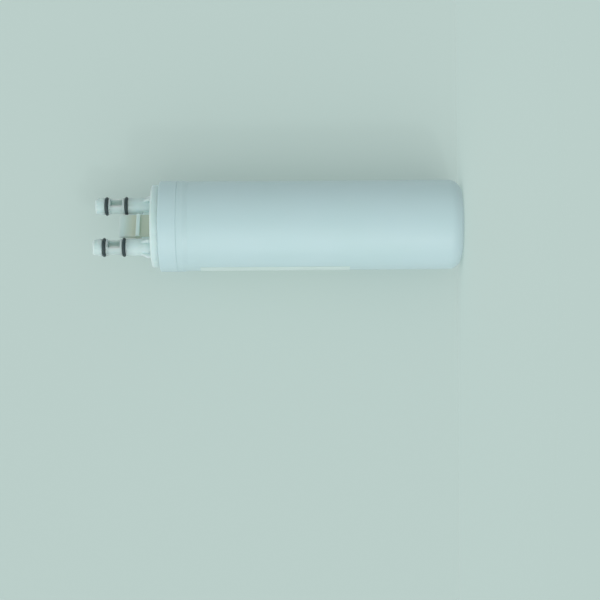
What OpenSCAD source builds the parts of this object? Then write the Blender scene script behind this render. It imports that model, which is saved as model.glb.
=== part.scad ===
// Bypass plug that takes the place of a water filter cartridge.
// It stands on its closed end. +Z runs along the body towards the two spigots,
// the spigots lie on the X axis and the label is centred on +Y.

/* [Housing] */
// Outside diameter of the body
body_d = 56.6; // [54:0.1:64]
// Height from the closed end to the weld seam
body_h = 179.2; // [150:0.1:240]
// Wall thickness of the body
body_wall = 2.6; // [2:0.1:3.4]
// Thickness of the closed end
end_t = 3; // [2:0.1:5]
// Outside radius of the corner round the closed end
end_round = 8.5; // [5:0.5:12]
// Diameter of the gate recess in the closed end
gate_d = 9; // [6:0.5:16]
// Depth of the gate recess
gate_depth = 0.6; // [0.2:0.1:1.2]
// How far the rim band stands out from the body
rim_step = 0.5; // [0.2:0.1:1]
// Height of the rim band below the seam
rim_h = 4; // [2.4:0.1:8]
// Height of the slope between the body and the rim band
rim_slope = 3; // [0.5:0.1:5]
// Lead-in bevel at the mouth, for the seal
mouth_bevel = 0.4; // [0.2:0.1:0.7]

/* [Collar] */
// Height of the collar above the seam
collar_h = 11.2; // [8:0.1:14]
// Wall thickness of the collar
collar_wall = 1.5; // [1.2:0.1:1.8]
// How far the collar's lip reaches in over the flange of the head
lip_reach = 1.05; // [0.6:0.05:1.6]
// Thickness of the lip
lip_t = 3.2; // [1.5:0.1:4]
// Radius of the collar's front edge
collar_edge = 0.9; // [0.4:0.1:1.2]
// Bevel on each side of the weld seam
seam_bevel = 0.25; // [0.1:0.05:0.4]
// Width of the weld tongue under the collar
weld_w = 0.8; // [0.6:0.05:1]
// Height of the weld tongue
weld_h = 1.4; // [0.8:0.1:2]

/* [Port head] */
// How far the disc stands out of the collar
disc_h = 5; // [4:0.1:10]
// Radius of the disc's front edge
disc_edge = 0.6; // [0.3:0.1:1]
// Thickness of the plate that carries the spigots
plate_t = 4.5; // [3:0.1:6]
// Length of the plug in the mouth of the housing
plug_l = 8; // [6:0.1:12]
// Wall thickness of the plug
plug_wall = 2.6; // [2.4:0.1:3.4]
// Thickness of the stiffening ribs under the plate
rib_t = 2; // [1.2:0.1:3]
// Depth of the stiffening ribs
rib_h = 5; // [2:0.1:8]
// Number of stiffening ribs across the plate
rib_n = 3; // [1:2:5]
// Section diameter of the seal on the plug
seal_d = 2.2; // [1.6:0.1:2.4]
// How much wider the seal's groove is than the seal
seal_slack = 0.6; // [0.3:0.1:1]

/* [Spigots] */
// Distance between the two spigot axes
pitch = 31.9; // [31:0.1:34]
// Diameter of the spigots
spigot_d = 10.8; // [10.4:0.1:11.6]
// Length of the spigots from the disc
spigot_l = 36.9; // [35:0.1:40]
// Diameter of the narrower nose
nose_d = 10; // [9:0.1:10.4]
// Length of the nose
nose_l = 3; // [1.5:0.1:3.6]
// Bevel at the end of the nose
nose_bevel = 0.8; // [0.3:0.1:1.4]
// Diameter of the core recess in the tip
tip_core_d = 5.2; // [4:0.1:6.4]
// Depth of the core recess in the tip
tip_core_h = 3.5; // [1:0.1:5]
// Diameter of the water bore
bore_d = 5.6; // [4.8:0.1:6]
// Height of the inner O-ring above the disc
ring_z = 17.2; // [14:0.1:17.6]
// Distance between the two O-rings of a spigot
ring_pitch = 12.5; // [12:0.1:13]
// Section diameter of the O-rings
ring_d = 1.95; // [1.7:0.05:2.1]
// Diameter of the spigot at the bottom of the glands
gland_d = 8.1; // [7.8:0.1:8.6]
// Width of the glands
gland_w = 2.5; // [2.3:0.05:2.7]
// Width of the land on the window side of each gland
land_w = 1; // [0.6:0.1:1.4]
// Diameter of the neck between the glands
neck_d = 9.4; // [8.8:0.1:10]
// Width of the side windows
window_w = 5.4; // [4:0.1:5.6]
// Length of the side windows
window_l = 7.7; // [6:0.1:7.8]
// Corner radius of the side windows
window_r = 0.8; // [0.4:0.1:1.6]
// Height of the root ribs
gusset_h = 6.6; // [3:0.1:9]
// Height of the root ribs at their outer end
gusset_low_h = 2.4; // [1:0.1:2.8]
// How far the root ribs reach out from the spigot
gusset_reach = 2.4; // [1.2:0.1:2.8]
// Thickness of the root ribs
gusset_t = 1.5; // [1:0.1:2.4]

/* [Key tongue] */
// Width of the tongue
tongue_w = 16.6; // [12:0.1:17.4]
// Length of the tongue from the disc
tongue_l = 21.2; // [14:0.1:24]
// Thickness of the tongue
tongue_t = 2.6; // [2:0.1:3.4]
// Corner radius of the tongue
tongue_r = 1.6; // [0.6:0.1:3]
// Length of the lead-in taper at the end of the tongue
taper_l = 4.2; // [1:0.1:6]
// Thickness left at the end of the taper
taper_t = 1.4; // [1:0.1:1.8]
// Height of the cross rib above the disc
cross_z = 8; // [5:0.1:9]
// Width of the cross rib along the tongue
cross_w = 2.4; // [1:0.1:3]
// How far the cross rib stands out from each face
cross_step = 1.1; // [0.4:0.1:2]

/* [Label] */
// Gap between the rim band and the label
label_gap = 7.4; // [2:0.1:30]
// Length of the label along the body
label_l = 94; // [30:1:98]
// Angle that the label covers round the body
label_a = 158; // [60:1:300]
// Thickness of the label
label_t = 0.15; // [0.1:0.01:0.18]

/* [Fits] */
// Side clearance between the head and the collar
fit_gap = 0.15; // [0.1:0.01:0.25]
// Clearance of the plug in the mouth
plug_gap = 0.2; // [0.1:0.01:0.3]
// Clearance round the weld tongue
weld_gap = 0.1; // [0.05:0.01:0.15]
// Clearance between each seal and its seats
seat_gap = 0.03; // [0.01:0.01:0.05]

/* [Hidden] */
$fn = 96;

// Overlap that joins two parts of one moulding
lap = 0.5;
// How far a cutting tool runs past the face that it cuts
run_out = 1;

body_r = body_d / 2;
cavity_r = body_r - body_wall;
rim_r = body_r + rim_step;
collar_bore_r = rim_r - collar_wall;
lip_r = collar_bore_r - lip_reach;
disc_r = lip_r - fit_gap;
flange_r = collar_bore_r - fit_gap;
plug_r = cavity_r - plug_gap;
hollow_r = plug_r - plug_wall;

band_z = body_h - rim_h;
label_z = band_z - rim_slope - label_gap - label_l;
collar_top = body_h + collar_h;
flange_top = collar_top - lip_t - fit_gap;
face_z = collar_top + disc_h;
plate_z = face_z - plate_t;
plug_z = body_h - plug_l;

seal_groove_r = cavity_r - seal_d - 2 * seat_gap;
seal_groove_w = seal_d + seal_slack;
seal_z = plug_z + plug_l / 2;

spigot_r = spigot_d / 2;
inner_ring_z = face_z + ring_z;
outer_ring_z = inner_ring_z + ring_pitch;
neck_z = inner_ring_z + gland_w / 2 + land_w;
neck_l = ring_pitch - gland_w - 2 * land_w;
window_z = neck_z + neck_l / 2;
bore_top = window_z + window_l / 2;
tip_z = face_z + spigot_l;
ring_centre_r = gland_d / 2 + seat_gap + ring_d / 2;

// A straight cylinder from z0 to z1
module column(r, z0, z1) {
  translate([0, 0, z0]) cylinder(r = r, h = z1 - z0);
}

// Half section of a disc from z0 to z1 with its upper edge rounded
module round_top_section(r, z0, z1, edge) {
  translate([0, z0]) square([r - edge, z1 - z0]);
  translate([0, z0]) square([r, z1 - z0 - edge]);
  translate([r - edge, z1 - edge]) circle(r = edge);
}

// Half section of a cup with its lower edge rounded
module round_bottom_section(r, z0, z1, edge) {
  translate([0, z0]) square([r - edge, z1 - z0]);
  translate([0, z0 + edge]) square([r, z1 - z0 - edge]);
  translate([r - edge, z0 + edge]) circle(r = edge);
}

// Rectangle about the origin with round corners
module round_rect(w, h, r) {
  square([w - 2 * r, h], center = true);
  square([w, h - 2 * r], center = true);
  for (x = [-1, 1], y = [-1, 1])
    translate([x * (w / 2 - r), y * (h / 2 - r)]) circle(r = r);
}

// Ring of rectangular section
module groove(r0, r1, z0, z1) {
  rotate_extrude() translate([r0, z0]) square([r1 - r0, z1 - z0]);
}

// Hollow body with a closed end, a rim band and the groove for the weld tongue
module housing() {
  color("white")
  difference() {
    rotate_extrude() {
      round_bottom_section(body_r, 0, body_h, end_round);
      polygon([
        [0, band_z - rim_slope],
        [body_r, band_z - rim_slope],
        [rim_r, band_z],
        [rim_r, body_h - seam_bevel],
        [rim_r - seam_bevel, body_h],
        [0, body_h]
      ]);
    }
    rotate_extrude()
      round_bottom_section(cavity_r, end_t, body_h + run_out, end_round - body_wall);
    translate([0, 0, body_h - mouth_bevel])
      cylinder(r1 = cavity_r, r2 = cavity_r + mouth_bevel, h = mouth_bevel);
    groove(
      collar_bore_r - weld_gap, collar_bore_r + weld_w + weld_gap,
      body_h - weld_h - weld_gap, body_h + run_out
    );
    column(gate_d / 2, -run_out, gate_depth);
  }
}

// Ring that is welded on the rim and holds the head by its flange
module collar() {
  color("white")
  rotate_extrude() {
    difference() {
      union() {
        round_top_section(rim_r, body_h + seam_bevel, collar_top, collar_edge);
        polygon([
          [0, body_h],
          [rim_r - seam_bevel, body_h],
          [rim_r, body_h + seam_bevel],
          [0, body_h + seam_bevel]
        ]);
      }
      translate([0, body_h - run_out])
        square([collar_bore_r, collar_h - lip_t + run_out]);
      translate([0, body_h])
        square([lip_r, collar_h + run_out]);
    }
    translate([collar_bore_r, body_h - weld_h])
      square([weld_w, weld_h + lap]);
  }
}

// Disc, flange and plug, turned about the body axis and cored from below
module head_base() {
  difference() {
    rotate_extrude() {
      round_top_section(disc_r, flange_top - lap, face_z, disc_edge);
      translate([0, body_h]) square([flange_r, flange_top - body_h]);
      translate([0, plug_z]) square([plug_r, plug_l + lap]);
    }
    column(hollow_r, plug_z - run_out, plate_z);
    groove(
      seal_groove_r, plug_r + run_out,
      seal_z - seal_groove_w / 2, seal_z + seal_groove_w / 2
    );
  }
  for (i = [0:rib_n - 1])
    rotate([0, 0, 90 + (i - (rib_n - 1) / 2) * 180 / rib_n])
      translate([-hollow_r - lap, -rib_t / 2, plate_z - rib_h])
        cube([2 * (hollow_r + lap), rib_t, rib_h + lap]);
}

// Outside of one spigot with its glands, neck and narrower nose
module spigot_outside() {
  difference() {
    union() {
      column(spigot_r, face_z - lap, tip_z - nose_l);
      column(nose_d / 2, tip_z - nose_l - lap, tip_z - nose_bevel);
      translate([0, 0, tip_z - nose_bevel])
        cylinder(r1 = nose_d / 2, r2 = nose_d / 2 - nose_bevel, h = nose_bevel);
    }
    for (z = [inner_ring_z, outer_ring_z])
      groove(gland_d / 2, spigot_r + run_out, z - gland_w / 2, z + gland_w / 2);
    groove(neck_d / 2, spigot_r + run_out, neck_z, neck_z + neck_l);
    column(tip_core_d / 2, tip_z - tip_core_h, tip_z + run_out);
  }
}

// Bore and side windows of one spigot
module spigot_waterway() {
  column(bore_d / 2, plate_z - run_out, bore_top);
  translate([0, spigot_d, window_z])
    rotate([90, 0, 0])
      linear_extrude(height = 2 * spigot_d)
        round_rect(window_w, window_l, window_r);
}

// One rib that stays the root of a spigot, towards +X
module gusset() {
  translate([0, gusset_t / 2, face_z])
    rotate([90, 0, 0])
      linear_extrude(height = gusset_t)
        polygon([
          [spigot_r - lap, -lap],
          [spigot_r + gusset_reach, -lap],
          [spigot_r + gusset_reach, gusset_low_h],
          [spigot_r, gusset_h],
          [spigot_r - lap, gusset_h]
        ]);
}

// Web that joins the root of a spigot at +X to the edge of the tongue
module tongue_web() {
  web_x = tongue_w / 2 - lap;
  translate([web_x, -gusset_t / 2, face_z - lap])
    cube([pitch / 2 - spigot_r + lap - web_x, gusset_t, gusset_h + lap]);
}

// Flat key with a tapered end and a cross rib on both faces
module tongue() {
  intersection() {
    translate([0, tongue_t, face_z])
      rotate([90, 0, 0])
        linear_extrude(height = 2 * tongue_t)
          translate([0, tongue_l / 2 - tongue_r])
            round_rect(tongue_w, tongue_l + 2 * tongue_r, tongue_r);
    translate([-tongue_w, 0, face_z])
      rotate([90, 0, 90])
        linear_extrude(height = 2 * tongue_w)
          polygon([
            [-tongue_t / 2, -lap],
            [tongue_t / 2, -lap],
            [tongue_t / 2, tongue_l - taper_l],
            [taper_t / 2, tongue_l],
            [-taper_t / 2, tongue_l],
            [-tongue_t / 2, tongue_l - taper_l]
          ]);
  }
  translate([-tongue_w / 2, -tongue_t / 2 - cross_step, face_z + cross_z])
    cube([tongue_w, tongue_t + 2 * cross_step, cross_w]);
}

// The whole head moulding
module port_head() {
  color("honeydew")
  difference() {
    union() {
      head_base();
      tongue();
      for (side = [0, 180])
        rotate([0, 0, side]) {
          translate([pitch / 2, 0, 0]) {
            spigot_outside();
            for (a = [-90, 0, 90])
              rotate([0, 0, a]) gusset();
          }
          tongue_web();
        }
    }
    for (side = [-1, 1])
      translate([side * pitch / 2, 0, 0]) spigot_waterway();
  }
}

// An O-ring about the Z axis
module o_ring(centre_r, section_d, z) {
  rotate_extrude() translate([centre_r, z]) circle(d = section_d);
}

// The seal in the groove of the plug
module head_seal() {
  color("dimgray")
  o_ring(cavity_r - seat_gap - seal_d / 2, seal_d, seal_z);
}

// An O-ring on the spigot at side -1 or 1
module spigot_ring(side, z) {
  color("dimgray")
  translate([side * pitch / 2, 0, 0]) o_ring(ring_centre_r, ring_d, z);
}

// Bare film on the body, wrapped round the +Y side
module label() {
  color("ivory")
  rotate([0, 0, 90 - label_a / 2])
    rotate_extrude(angle = label_a)
      translate([body_r + seat_gap, label_z]) square([label_t, label_l]);
}

housing();
collar();
port_head();
head_seal();
spigot_ring(-1, inner_ring_z);  // inlet_inner_oring
spigot_ring(-1, outer_ring_z);  // inlet_outer_oring
spigot_ring(1, inner_ring_z);  // outlet_inner_oring
spigot_ring(1, outer_ring_z);  // outlet_outer_oring
label();
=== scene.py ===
import math

import bmesh
import bpy
from mathutils import Matrix, Vector


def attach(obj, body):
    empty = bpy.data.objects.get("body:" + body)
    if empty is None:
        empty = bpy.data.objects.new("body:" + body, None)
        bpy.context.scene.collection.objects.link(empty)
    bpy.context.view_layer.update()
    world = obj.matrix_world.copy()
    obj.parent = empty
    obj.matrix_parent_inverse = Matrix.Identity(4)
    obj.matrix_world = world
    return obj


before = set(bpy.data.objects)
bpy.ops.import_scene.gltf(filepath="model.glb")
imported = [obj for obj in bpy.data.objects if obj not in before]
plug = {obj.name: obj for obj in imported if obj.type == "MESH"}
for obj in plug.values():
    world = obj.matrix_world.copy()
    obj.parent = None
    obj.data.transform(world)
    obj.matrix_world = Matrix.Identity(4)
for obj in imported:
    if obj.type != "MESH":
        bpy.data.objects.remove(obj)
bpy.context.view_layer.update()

scene = bpy.context.scene
scene.view_settings.view_transform = "Standard"


def screenTint(red, green, blue):
    # a colour as a screen shows it, 0 to 255, turned into the linear value that a shader wants
    def linear(part):
        part = part / 255
        return part / 12.92 if part <= 0.04045 else ((part + 0.055) / 1.055) ** 2.4
    return (linear(red), linear(green), linear(blue), 1.0)


def newFinish(name):
    # an empty material with its output
    material = bpy.data.materials.new(name)
    material.use_nodes = True
    tree = material.node_tree
    tree.nodes.clear()
    output = tree.nodes.new("ShaderNodeOutputMaterial")
    return material, tree, output


def addNode(tree, kind, **values):
    node = tree.nodes.new(kind)
    for name, value in values.items():
        if hasattr(node, name) and name not in node.inputs:
            setattr(node, name, value)
        else:
            node.inputs[name].default_value = value
    return node


def join(tree, source, sourceName, target, targetName):
    tree.links.new(source.outputs[sourceName], target.inputs[targetName])


def noiseField(tree, coords, scale, detail=3.0, rough=0.5, stretch=(1, 1, 1)):
    # noise in the plug's own space, scale in waves per metre
    mapping = addNode(tree, "ShaderNodeMapping", Scale=stretch)
    join(tree, coords, "Object", mapping, "Vector")
    field = addNode(tree, "ShaderNodeTexNoise", Scale=scale, Detail=detail, Roughness=rough)
    join(tree, mapping, "Vector", field, "Vector")
    return field


def ramp(tree, source, sourceName, low, high, lowValue, highValue):
    node = addNode(tree, "ShaderNodeMapRange")
    for name, value in (("From Min", low), ("From Max", high), ("To Min", lowValue), ("To Max", highValue)):
        node.inputs[name].default_value = value
    join(tree, source, sourceName, node, "Value")
    return node


def mixTint(tree, amount, amountName, first, second):
    # first and second are colours, or mix nodes made here before
    node = addNode(tree, "ShaderNodeMix", data_type="RGBA")
    for place, tint in ((6, first), (7, second)):
        if isinstance(tint, tuple):
            node.inputs[place].default_value = tint
        else:
            tree.links.new(tint.outputs[2], node.inputs[place])
    tree.links.new(amount.outputs[amountName], node.inputs[0])
    return node


def bumpChain(tree, shader, layers, edgeRound=0.0):
    # layers are (node, output, height in metres), stacked into the shader's normal
    last = None
    if edgeRound > 0:
        last = addNode(tree, "ShaderNodeBevel", samples=6, Radius=edgeRound)
    for source, outputName, height in layers:
        bump = addNode(tree, "ShaderNodeBump", Strength=1.0, Distance=height)
        join(tree, source, outputName, bump, "Height")
        if last is not None:
            join(tree, last, "Normal", bump, "Normal")
        last = bump
    join(tree, last, "Normal", shader, "Normal")


def dress(piece, material):
    piece.data.materials.clear()
    piece.data.materials.append(material)


# Camera

photoView = {
    "azimuth": -33.0,       # degrees round the plug, 0 looks along +Y
    "distance": 1.1145,     # camera to the plug's axis, metres
    "aimHeight": 0.10236,   # height of the picture's middle on the axis
    "aimDrop": 0.0472,      # how far the picture's middle lies below the axis
    "roll": 0.40,           # degrees that the closed end is lifted
    "lens": 105.5,
    "sensor": 36.0,
}

turn = math.radians(photoView["azimuth"])
backward = Vector((math.sin(turn), -math.cos(turn), 0.0))
pictureUp = Vector((math.cos(turn), math.sin(turn), 0.0))
pictureRight = pictureUp.cross(backward)
lift = math.radians(photoView["roll"])
cameraUp = pictureUp * math.cos(lift) + pictureRight * math.sin(lift)
cameraRight = cameraUp.cross(backward)
aim = Vector((0, 0, photoView["aimHeight"])) - pictureUp * photoView["aimDrop"]

cameraData = bpy.data.cameras.new("camera")
cameraData.lens = photoView["lens"]
cameraData.sensor_width = photoView["sensor"]
cameraData.clip_start = 0.05
cameraData.clip_end = 50
camera = bpy.data.objects.new("camera", cameraData)
scene.collection.objects.link(camera)
facing = Matrix((cameraRight, cameraUp, backward)).transposed().to_4x4()
camera.matrix_world = Matrix.Translation(aim + backward * photoView["distance"]) @ facing
scene.camera = camera
print("camera placed")


# Floor, backdrop and light

stageSetup = {
    "pale": (187, 207, 202),    # colour of the far background
    "ambient": 0.58,            # level of the light from all round
    "sheetGap": 0.0292,         # backdrop behind the axis
    "sheetLevel": 0.95,         # level that the backdrop is lit to
    "floorLevel": 0.80,         # level that the floor is lit to
    "floorGlow": 0.5,           # share of the floor that keeps its colour in its shadows
    "sheetGlow": 0.3,           # the same for the backdrop
    "reach": 0.8,               # half the width of the floor and the backdrop
    "fadeStart": 0.30,          # distance from the plug's foot at which both begin to fade
    "fadeEnd": 0.55,
}

lampSetup = {
    # level where it falls straight, size in degrees, then its way as parts of back, up and right
    "key": (0.28, 70, (0.704, -0.668, 0.14)),
    "overhead": (0.24, 60, (0.50, 0.0, -0.866)),
    "glint": (0.06, 6, (0.704, -0.668, 0.238)),
}


def stageFinish(name, level, glow):
    # pale paper that fades out far from the plug and can't be seen from behind
    material, tree, output = newFinish(name)
    pale = screenTint(*stageSetup["pale"])
    paint = tuple(part / level for part in pale[:3]) + (1,)
    lit = addNode(tree, "ShaderNodeBsdfDiffuse", Color=paint)
    shine = addNode(tree, "ShaderNodeEmission", Color=pale, Strength=1.0)
    seenBy = seenByEye(tree)
    share = addNode(tree, "ShaderNodeMath", operation="MULTIPLY")
    join(tree, seenBy, "Value", share, 0)
    share.inputs[1].default_value = glow
    paper = addNode(tree, "ShaderNodeMixShader")
    join(tree, share, "Value", paper, 0)
    join(tree, lit, "BSDF", paper, 1)
    join(tree, shine, "Emission", paper, 2)
    clear = addNode(tree, "ShaderNodeBsdfTransparent")
    coords = addNode(tree, "ShaderNodeTexCoord")
    reach = addNode(tree, "ShaderNodeVectorMath", operation="LENGTH")
    join(tree, coords, "Object", reach, 0)
    fade = ramp(tree, reach, "Value", stageSetup["fadeStart"], stageSetup["fadeEnd"], 0, 1)
    fade.interpolation_type = "SMOOTHSTEP"
    geometry = addNode(tree, "ShaderNodeNewGeometry")
    either = addNode(tree, "ShaderNodeMath", operation="MAXIMUM")
    join(tree, fade, "Result", either, 0)
    join(tree, geometry, "Backfacing", either, 1)
    mix = addNode(tree, "ShaderNodeMixShader")
    join(tree, either, "Value", mix, 0)
    join(tree, paper, "Shader", mix, 1)
    join(tree, clear, "BSDF", mix, 2)
    join(tree, mix, "Shader", output, "Surface")
    return material


def seenByEye(tree):
    # 1 for what the camera sees, also in a reflection or through clear plastic
    rays = addNode(tree, "ShaderNodeLightPath")
    first = addNode(tree, "ShaderNodeMath", operation="MAXIMUM")
    both = addNode(tree, "ShaderNodeMath", operation="MAXIMUM")
    join(tree, rays, "Is Camera Ray", first, 0)
    join(tree, rays, "Is Glossy Ray", first, 1)
    join(tree, first, "Value", both, 0)
    join(tree, rays, "Is Transmission Ray", both, 1)
    return both


def sheetMesh(name, profile, along, halfWidth):
    # a sheet swept sideways along a direction, from points that run up its middle
    mesh = bpy.data.meshes.new(name)
    build = bmesh.new()
    rows = [[build.verts.new(point + along * side * halfWidth) for side in (-1, 1)] for point in profile]
    for lower, upper in zip(rows, rows[1:]):
        build.faces.new((lower[0], lower[1], upper[1], upper[0]))
    build.normal_update()
    build.to_mesh(mesh)
    build.free()
    sheet = bpy.data.objects.new(name, mesh)
    scene.collection.objects.link(sheet)
    return sheet


far = stageSetup["reach"]
foot = Vector((0, 0, -0.0001))
sheetFoot = foot - backward * stageSetup["sheetGap"]
backdrop = sheetMesh("backdrop", [sheetFoot, sheetFoot + Vector((0, 0, far))], pictureUp, far)
if backdrop.data.polygons[0].normal.dot(backward) < 0:
    backdrop.data.flip_normals()
dress(backdrop, stageFinish("backdropPaper", stageSetup["sheetLevel"], stageSetup["sheetGlow"]))

floor = sheetMesh("floor", [foot - Vector((0, far, 0)), foot + Vector((0, far, 0))], Vector((1, 0, 0)), far)
if floor.data.polygons[0].normal.z < 0:
    floor.data.flip_normals()
dress(floor, stageFinish("floorPaper", stageSetup["floorLevel"], stageSetup["floorGlow"]))
for sheet in (backdrop, floor):
    sheet.visible_diffuse = False     # the light from below passes, as on a wide table
    sheet.visible_shadow = False

world = bpy.data.worlds.new("studio")
world.use_nodes = True
scene.world = world
tree = world.node_tree
tree.nodes.clear()
worldOutput = addNode(tree, "ShaderNodeOutputWorld")
ambient = addNode(tree, "ShaderNodeBackground", Color=(1, 1, 1, 1), Strength=stageSetup["ambient"])
seen = addNode(tree, "ShaderNodeBackground", Color=screenTint(*stageSetup["pale"]), Strength=1.0)
worldMix = addNode(tree, "ShaderNodeMixShader")
join(tree, seenByEye(tree), "Value", worldMix, 0)
join(tree, ambient, "Background", worldMix, 1)
join(tree, seen, "Background", worldMix, 2)
join(tree, worldMix, "Shader", worldOutput, "Surface")

for name, (level, spread, (back, up, right)) in lampSetup.items():
    way = (backward * back + pictureUp * up + pictureRight * right).normalized()
    lampData = bpy.data.lights.new(name, "SUN")
    lampData.energy = level * math.pi
    lampData.angle = math.radians(spread)
    lamp = bpy.data.objects.new(name, lampData)
    lamp.rotation_mode = "QUATERNION"
    lamp.rotation_quaternion = way.to_track_quat("Z", "Y")
    lamp.location = way * 1.5
    scene.collection.objects.link(lamp)
print("stage lit")


# White moulded plastic of the housing and the collar

whitePlastic = {
    "tint": (188, 216, 219),
    "cloudTint": (186, 215, 217),
    "collarTint": (189, 217, 220),
    "collarCloudTint": (187, 216, 219),
    "roughness": 0.33,
    "duller": 0.05,                 # how far the satin noise moves the roughness up
    "shinier": 0.04,                # and down
    "cloudWaves": 28,               # waves per metre of each noise
    "satinWaves": 160,
    "grainWaves": 1500,
    "swellWaves": 60,
    "grainHeight": 0.000002,
    "swellHeight": 0.00004,
    "edgeRound": 0.0002,
    "milkiness": 0.12,
    "depth": 0.002,                 # how far light spreads in the plastic
    "lightBend": 1.49,
}


def whiteFinish(name, values):
    material, tree, output = newFinish(name)
    shader = addNode(tree, "ShaderNodeBsdfPrincipled", IOR=values["lightBend"])
    coords = addNode(tree, "ShaderNodeTexCoord")
    cloud = noiseField(tree, coords, values["cloudWaves"], detail=2)
    cloudy = ramp(tree, cloud, "Fac", 0.35, 0.65, 0, 1)
    colour = mixTint(tree, cloudy, "Result", screenTint(*values["tint"]), screenTint(*values["cloudTint"]))
    tree.links.new(colour.outputs[2], shader.inputs["Base Color"])
    satin = noiseField(tree, coords, values["satinWaves"], detail=4, rough=0.6)
    dull = ramp(tree, satin, "Fac", 0.3, 0.7, values["roughness"] - values["shinier"],
                values["roughness"] + values["duller"])
    join(tree, dull, "Result", shader, "Roughness")
    grain = noiseField(tree, coords, values["grainWaves"], detail=2)
    swell = noiseField(tree, coords, values["swellWaves"], detail=1, rough=0.4, stretch=(1, 1, 0.25))
    bumpChain(tree, shader, [(swell, "Fac", values["swellHeight"]), (grain, "Fac", values["grainHeight"])],
              values["edgeRound"])
    shader.inputs["Subsurface Weight"].default_value = values["milkiness"]
    shader.inputs["Subsurface Radius"].default_value = (1.0, 0.9, 0.8)
    shader.inputs["Subsurface Scale"].default_value = values["depth"]
    join(tree, shader, "BSDF", output, "Surface")
    return material


housingFinish = whiteFinish("housingPlastic", whitePlastic)
collarPlastic = dict(whitePlastic, tint=whitePlastic["collarTint"], cloudTint=whitePlastic["collarCloudTint"])
collarFinish = whiteFinish("collarPlastic", collarPlastic)
dress(plug["housing"], housingFinish)
dress(plug["collar"], collarFinish)
print("housing and collar finished")


# Natural plastic of the port head

naturalPlastic = {
    "tint": (204, 230, 229),
    "cloudTint": (200, 226, 223),
    "thinShadeTint": (187, 211, 208),    # painted shade: the stretch with the bore is painted darker, for the shade seen through its walls
    "thinShadeFrom": (0.205, 0.210),     # heights between which this painted shade sets in
    "thinTo": (0.223, 0.229),       # heights between which the painted shade fades
    "keyShadeTint": (190, 202, 188),     # painted shade and tone: the lower tongue is painted darker, for the shade seen through it, and yellower than the rest
    "keyHalfWidth": 0.0083,
    "keyHalfDepth": 0.0014,         # the cross rib stands out of this and stays milky
    "keyFoot": 0.1956,              # just above the disc
    "keyShadeFade": (0.208, 0.214),      # heights between which its painted shade and tone fade out
    "roughness": 0.34,
    "duller": 0.06,
    "shinier": 0.05,
    "cloudWaves": 90,
    "satinWaves": 260,
    "grainWaves": 1800,
    "grainHeight": 0.000003,
    "edgeRound": 0.00015,
    "milkiness": 0.85,
    "depth": 0.006,                 # how far light spreads in the plastic
    "clear": 0.06,
    "lightBend": 1.49,
}


maskEdge = 0.0004       # width of the soft edge of a mask, metres


def product(tree, masks):
    # masks are (node, output), all multiplied together
    node, outputName = masks[0]
    for other, otherName in masks[1:]:
        both = addNode(tree, "ShaderNodeMath", operation="MULTIPLY")
        join(tree, node, outputName, both, 0)
        join(tree, other, otherName, both, 1)
        node, outputName = both, "Value"
    return node


def within(tree, place, axis, half):
    # 1 where the distance from the middle plane is under half
    side = addNode(tree, "ShaderNodeMath", operation="ABSOLUTE")
    join(tree, place, axis, side, 0)
    return ramp(tree, side, "Value", half, half + maskEdge, 1, 0)


def keyShadeMask(tree, place, values):
    # 1 on the lower part of the tongue, where the painted shade goes, 0 elsewhere
    foot, pale = values["keyFoot"], values["keyShadeFade"]
    masks = [
        within(tree, place, "X", values["keyHalfWidth"]),
        within(tree, place, "Y", values["keyHalfDepth"]),
        ramp(tree, place, "Z", foot, foot + maskEdge, 0, 1),
        ramp(tree, place, "Z", pale[0], pale[1], 1, 0),
    ]
    return product(tree, [(mask, "Result") for mask in masks])


def naturalFinish(name, values):
    material, tree, output = newFinish(name)
    shader = addNode(tree, "ShaderNodeBsdfPrincipled", IOR=values["lightBend"])
    coords = addNode(tree, "ShaderNodeTexCoord")
    cloud = noiseField(tree, coords, values["cloudWaves"])
    cloudy = ramp(tree, cloud, "Fac", 0.35, 0.65, 0, 1)
    milky = mixTint(tree, cloudy, "Result", screenTint(*values["tint"]), screenTint(*values["cloudTint"]))
    place = addNode(tree, "ShaderNodeSeparateXYZ")
    join(tree, coords, "Object", place, "Vector")
    # painted shade on the stretch of the spigots with the bore, darker than the milky plastic
    shadeStart, shadeEnd = values["thinShadeFrom"], values["thinTo"]
    thin = product(tree, [(ramp(tree, place, "Z", shadeStart[0], shadeStart[1], 0, 1), "Result"),
                          (ramp(tree, place, "Z", shadeEnd[0], shadeEnd[1], 1, 0.3), "Result")])
    withBoreShade = mixTint(tree, thin, "Value", milky, screenTint(*values["thinShadeTint"]))
    # painted shade and a yellower tone on the lower tongue
    colour = mixTint(tree, keyShadeMask(tree, place, values), "Value", withBoreShade, screenTint(*values["keyShadeTint"]))
    tree.links.new(colour.outputs[2], shader.inputs["Base Color"])
    satin = noiseField(tree, coords, values["satinWaves"], detail=4, rough=0.6)
    dull = ramp(tree, satin, "Fac", 0.3, 0.7, values["roughness"] - values["shinier"],
                values["roughness"] + values["duller"])
    join(tree, dull, "Result", shader, "Roughness")
    grain = noiseField(tree, coords, values["grainWaves"], detail=2)
    bumpChain(tree, shader, [(grain, "Fac", values["grainHeight"])], values["edgeRound"])
    shader.inputs["Subsurface Weight"].default_value = values["milkiness"]
    shader.inputs["Subsurface Radius"].default_value = (1.0, 1.0, 0.9)
    shader.inputs["Subsurface Scale"].default_value = values["depth"]
    shader.inputs["Transmission Weight"].default_value = values["clear"]
    join(tree, shader, "BSDF", output, "Surface")
    return material


dress(plug["port_head"], naturalFinish("headPlastic", naturalPlastic))
print("port head finished")


# Rubber of the seals

sealRubber = {
    "tint": (34, 50, 54),
    "cloudTint": (44, 60, 64),
    "roughness": 0.36,
    "duller": 0.12,
    "shinier": 0.1,
    "cloudWaves": 500,
    "greaseWaves": 350,
    "grainWaves": 4000,
    "grainHeight": 0.000004,
    "lightBend": 1.52,
}


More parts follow.
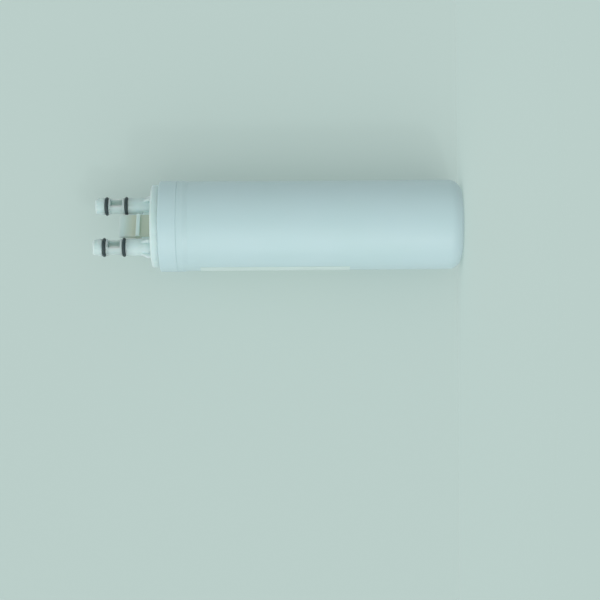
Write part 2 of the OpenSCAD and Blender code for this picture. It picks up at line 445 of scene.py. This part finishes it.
def rubberFinish(name, values):
    material, tree, output = newFinish(name)
    shader = addNode(tree, "ShaderNodeBsdfPrincipled", IOR=values["lightBend"])
    coords = addNode(tree, "ShaderNodeTexCoord")
    cloud = noiseField(tree, coords, values["cloudWaves"], detail=4, rough=0.6)
    cloudy = ramp(tree, cloud, "Fac", 0.4, 0.65, 0, 1)
    colour = mixTint(tree, cloudy, "Result", screenTint(*values["tint"]), screenTint(*values["cloudTint"]))
    tree.links.new(colour.outputs[2], shader.inputs["Base Color"])
    grease = noiseField(tree, coords, values["greaseWaves"])
    dull = ramp(tree, grease, "Fac", 0.35, 0.65, values["roughness"] - values["shinier"],
                values["roughness"] + values["duller"])
    join(tree, dull, "Result", shader, "Roughness")
    grain = noiseField(tree, coords, values["grainWaves"], detail=2)
    bumpChain(tree, shader, [(grain, "Fac", values["grainHeight"])])
    join(tree, shader, "BSDF", output, "Surface")
    return material


rubber = rubberFinish("sealRubber", sealRubber)
dress(plug["head_seal"], rubber)
for side in ("inlet", "outlet"):
    for place in ("inner", "outer"):
        dress(plug[side + "_" + place + "_oring"], rubber)
print("seals finished")


# Label film

labelFilm = {
    "tint": (203, 226, 222),
    "cloudTint": (201, 224, 219),
    "roughness": 0.38,
    "duller": 0.04,
    "shinier": 0.03,
    "cloudWaves": 70,
    "satinWaves": 700,
    "fibreWaves": 900,
    "fibreHeight": 0.000003,
    "lightBend": 1.5,
}


def filmFinish(name, values):
    material, tree, output = newFinish(name)
    shader = addNode(tree, "ShaderNodeBsdfPrincipled", IOR=values["lightBend"])
    coords = addNode(tree, "ShaderNodeTexCoord")
    cloud = noiseField(tree, coords, values["cloudWaves"], detail=4, rough=0.6)
    cloudy = ramp(tree, cloud, "Fac", 0.35, 0.65, 0, 1)
    colour = mixTint(tree, cloudy, "Result", screenTint(*values["tint"]), screenTint(*values["cloudTint"]))
    tree.links.new(colour.outputs[2], shader.inputs["Base Color"])
    satin = noiseField(tree, coords, values["satinWaves"], detail=2)
    dull = ramp(tree, satin, "Fac", 0.3, 0.7, values["roughness"] - values["shinier"],
                values["roughness"] + values["duller"])
    join(tree, dull, "Result", shader, "Roughness")
    fibre = noiseField(tree, coords, values["fibreWaves"], rough=0.6)
    bumpChain(tree, shader, [(fibre, "Fac", values["fibreHeight"])])
    join(tree, shader, "BSDF", output, "Surface")
    return material


dress(plug["label"], filmFinish("labelFilm", labelFilm))
print("label finished")

# Marks left by moulding and welding
mouldingMarks = {
    "flashHeight": 0.1792,      # the weld seam
    "flashRadius": 0.02858,
    "flashSection": 0.00011,
    "flashSway": 0.00004,       # how unevenly the flash was squeezed out
    "flashLines": 6,            # lines that make up its round section
    "flashSteps": 240,
    "gateRadius": 0.0011,       # stub of the sprue in the recess of the closed end
    "gateFrom": 0.00012,
    "gateTo": 0.0007,
    "gateSteps": 32,
}


def turnedPiece(name, rings, steps, material, closed):
    # rings are functions of the angle that give a radius and a height, one for each line of the section
    mesh = bpy.data.meshes.new(name)
    build = bmesh.new()
    rows = []
    for index in range(steps):
        angle = index / steps * 2 * math.pi
        places = [ring(angle) for ring in rings]
        rows.append([build.verts.new((r * math.cos(angle), r * math.sin(angle), z)) for r, z in places])
    lines = len(rings) if closed else len(rings) - 1
    for row, following in zip(rows, rows[1:] + rows[:1]):
        for line in range(lines):
            nextLine = (line + 1) % len(rings)
            build.faces.new((row[line], following[line], following[nextLine], row[nextLine]))
    if not closed:
        build.faces.new([row[0] for row in rows])
        build.faces.new([row[-1] for row in rows])
    bmesh.ops.recalc_face_normals(build, faces=build.faces)
    for face in build.faces:
        face.smooth = True
    build.to_mesh(mesh)
    build.free()
    piece = bpy.data.objects.new(name, mesh)
    scene.collection.objects.link(piece)
    dress(piece, material)
    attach(piece, "root")
    return piece


def flashRing(turnStart):
    # one line of the flash's round section, which sways a little on its way round
    values = mouldingMarks

    def place(angle):
        sway = values["flashSway"] * (math.sin(5 * angle) + 0.6 * math.sin(13 * angle + 1.3)) / 1.6
        section = values["flashSection"] + 0.4 * sway
        return (values["flashRadius"] + sway + section * math.cos(turnStart),
                values["flashHeight"] + section * math.sin(turnStart))
    return place


def gateRing(radiusShare, heightShare):
    values = mouldingMarks
    height = values["gateFrom"] + (values["gateTo"] - values["gateFrom"]) * heightShare
    return lambda angle: (values["gateRadius"] * radiusShare, height)


flashLines = mouldingMarks["flashLines"]
flashSection = [flashRing(part / flashLines * 2 * math.pi) for part in range(flashLines)]
turnedPiece("weld_flash", flashSection, mouldingMarks["flashSteps"], collarFinish, True)
gateSection = [gateRing(0.86, 0.0), gateRing(0.96, 0.12), gateRing(1.0, 0.4), gateRing(1.0, 1.0)]
turnedPiece("gate_stub", gateSection, mouldingMarks["gateSteps"], housingFinish, False)
print("moulding marks added")
